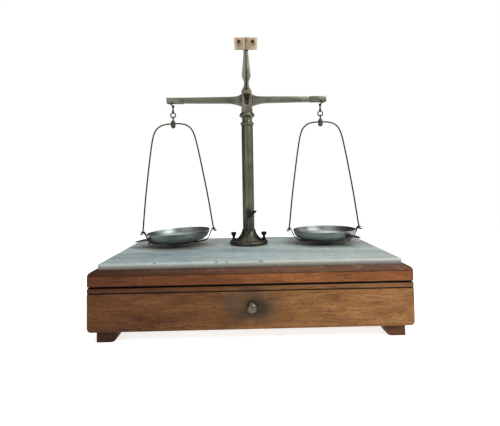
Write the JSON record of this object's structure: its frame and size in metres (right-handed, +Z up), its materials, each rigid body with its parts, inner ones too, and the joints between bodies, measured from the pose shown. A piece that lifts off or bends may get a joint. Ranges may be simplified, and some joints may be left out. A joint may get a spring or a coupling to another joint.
{
  "type": "counter balance",
  "caption": "Antique pharmacy balance: brass column and beam on a marble-topped wooden box with a drawer, pans hung in wire bails, needle and index plate above.",
  "frame": {"origin": "middle of the bounding box, on the surface that the feet stand on", "axes": "+X to the right seen from the drawer's side, +Y away from the drawer, +Z up the column"},
  "size_m": [0.4, 0.257, 0.4354],
  "materials": {
    "walnut": "old waxed walnut, stained and pitted",
    "drawer_wood": "plain unpolished softwood",
    "marble": "polished blue-grey marble with soft streaks",
    "brass": "dull grey-olive patina",
    "dark_brass": "dark worn patina",
    "steel": "browned with age",
    "ivory": "cream bone with rusty stains around the screws",
    "pewter": "dull grey, rubbed"
  },
  "bodies": {
    "base": {"foot_front_left": "walnut", "foot_front_right": "walnut", "foot_back_left": "walnut", "foot_back_right": "walnut", "case_side_left": "walnut", "case_side_right": "walnut", "case_back": "walnut", "case_floor": "walnut", "drawer_runner_left": "drawer_wood", "drawer_runner_right": "drawer_wood", "frame_front": "walnut", "frame_right": "walnut", "frame_back": "walnut", "frame_left": "walnut", "sub_top": "drawer_wood", "marble_top": "marble", "column_base": "dark_brass", "fixing_nut": "steel", "column_tube": "brass", "capital": "brass", "lever_boss": "dark_brass"},
    "drawer": {"drawer_front": "walnut", "drawer_side_left": "drawer_wood", "drawer_side_right": "drawer_wood", "drawer_back": "drawer_wood", "drawer_floor": "drawer_wood", "drawer_knob": "pewter"},
    "screw_left": {"thumb_screw_left": "dark_brass"},
    "screw_right": {"thumb_screw_right": "dark_brass"},
    "lever": {"lift_lever": "dark_brass", "lever_shaft": "steel"},
    "head": {"head": "brass", "lift_rod": "steel", "bearing_front": "steel", "bearing_back": "steel", "lyre": "brass", "lyre_screw": "steel", "index_plate": "ivory", "plate_screw_left": "steel", "plate_screw_right": "steel"},
    "beam": {"beam": "brass", "centre_knife": "steel", "needle": "steel", "needle_nut": "dark_brass", "end_box_left": "brass", "end_box_right": "brass", "end_knife_left": "steel", "end_knife_right": "steel"},
    "hook_left": {"hook_left": "steel"},
    "swivel_left": {"swivel_left": "steel"},
    "bail_left": {"bail_left": "dark_brass"},
    "cradle_left": {"cradle_left": "dark_brass"},
    "pan_left": {"pan_left": "dark_brass", "pan_handle_left": "dark_brass"},
    "hook_right": {"hook_right": "steel"},
    "swivel_right": {"swivel_right": "steel"},
    "bail_right": {"bail_right": "dark_brass"},
    "cradle_right": {"cradle_right": "dark_brass"},
    "pan_right": {"pan_right": "dark_brass", "pan_handle_right": "dark_brass"}
  },
  "joints": [
    {"name": "drawer_slide", "type": "slide", "parent": "base", "child": "drawer", "axis": [0, -1, 0], "range_m": [0, 0.15]},
    {"name": "screw_left_turn", "type": "hinge", "parent": "base", "child": "screw_left", "pos_m": [-0.0244, 0.042, 0.1], "axis": [0, 0, 1], "continuous": true},
    {"name": "screw_right_turn", "type": "hinge", "parent": "base", "child": "screw_right", "pos_m": [0.0244, 0.042, 0.1], "axis": [0, 0, 1], "continuous": true},
    {"name": "head_lift", "type": "slide", "parent": "base", "child": "head", "axis": [0, 0, 1], "range_m": [0, 0.00537]},
    {"name": "lever_turn", "type": "hinge", "parent": "base", "child": "lever", "pos_m": [0, 0.042, 0.1452], "axis": [0, -1, 0], "range_deg": [0, 90]},
    {"name": "beam_rock", "type": "hinge", "parent": "head", "child": "beam", "pos_m": [0, 0.042, 0.326], "axis": [0, 1, 0], "range_deg": [-1.1, 1.1]},
    {"name": "hook_left_swing", "type": "hinge", "parent": "beam", "child": "hook_left", "pos_m": [-0.1203, 0.042, 0.3258], "axis": [0, 1, 0], "range_deg": [-1.2, 1.2]},
    {"name": "swivel_left_swing", "type": "hinge", "parent": "hook_left", "child": "swivel_left", "pos_m": [-0.1203, 0.042, 0.3], "axis": [1, 0, 0], "range_deg": [-10, 10]},
    {"name": "bail_left_swing", "type": "hinge", "parent": "swivel_left", "child": "bail_left", "pos_m": [-0.1203, 0.042, 0.2903], "axis": [0, -1, 0], "range_deg": [-4, 4]},
    {"name": "cradle_left_tilt", "type": "hinge", "parent": "bail_left", "child": "cradle_left", "pos_m": [-0.11367, 0.042, 0.11783], "axis": [-0.9993, 0, -0.0384], "range_deg": [-4, 4]},
    {"name": "pan_left_lift", "type": "slide", "parent": "cradle_left", "child": "pan_left", "axis": [-0.0384, 0, 0.9993], "range_m": [0, 0.03]},
    {"name": "hook_right_swing", "type": "hinge", "parent": "beam", "child": "hook_right", "pos_m": [0.1203, 0.042, 0.3258], "axis": [0, 1, 0], "range_deg": [-1.2, 1.2]},
    {"name": "swivel_right_swing", "type": "hinge", "parent": "hook_right", "child": "swivel_right", "pos_m": [0.1203, 0.042, 0.3], "axis": [1, 0, 0], "range_deg": [-10, 10]},
    {"name": "bail_right_swing", "type": "hinge", "parent": "swivel_right", "child": "bail_right", "pos_m": [0.1203, 0.042, 0.2903], "axis": [0, 1, 0], "range_deg": [-4, 4]},
    {"name": "cradle_right_tilt", "type": "hinge", "parent": "bail_right", "child": "cradle_right", "pos_m": [0.12241, 0.042, 0.11771], "axis": [-0.9999, 0, -0.0122], "range_deg": [-4, 4]},
    {"name": "pan_right_lift", "type": "slide", "parent": "cradle_right", "child": "pan_right", "axis": [-0.0122, 0, 0.9999], "range_m": [0, 0.03]}
  ],
  "couplings": [
    {"joint": "lever_turn", "follows": "head_lift", "rad_per_m": 292.2},
    {"joint": "hook_left_swing", "follows": "beam_rock", "ratio": -1},
    {"joint": "hook_right_swing", "follows": "beam_rock", "ratio": -1}
  ]
}
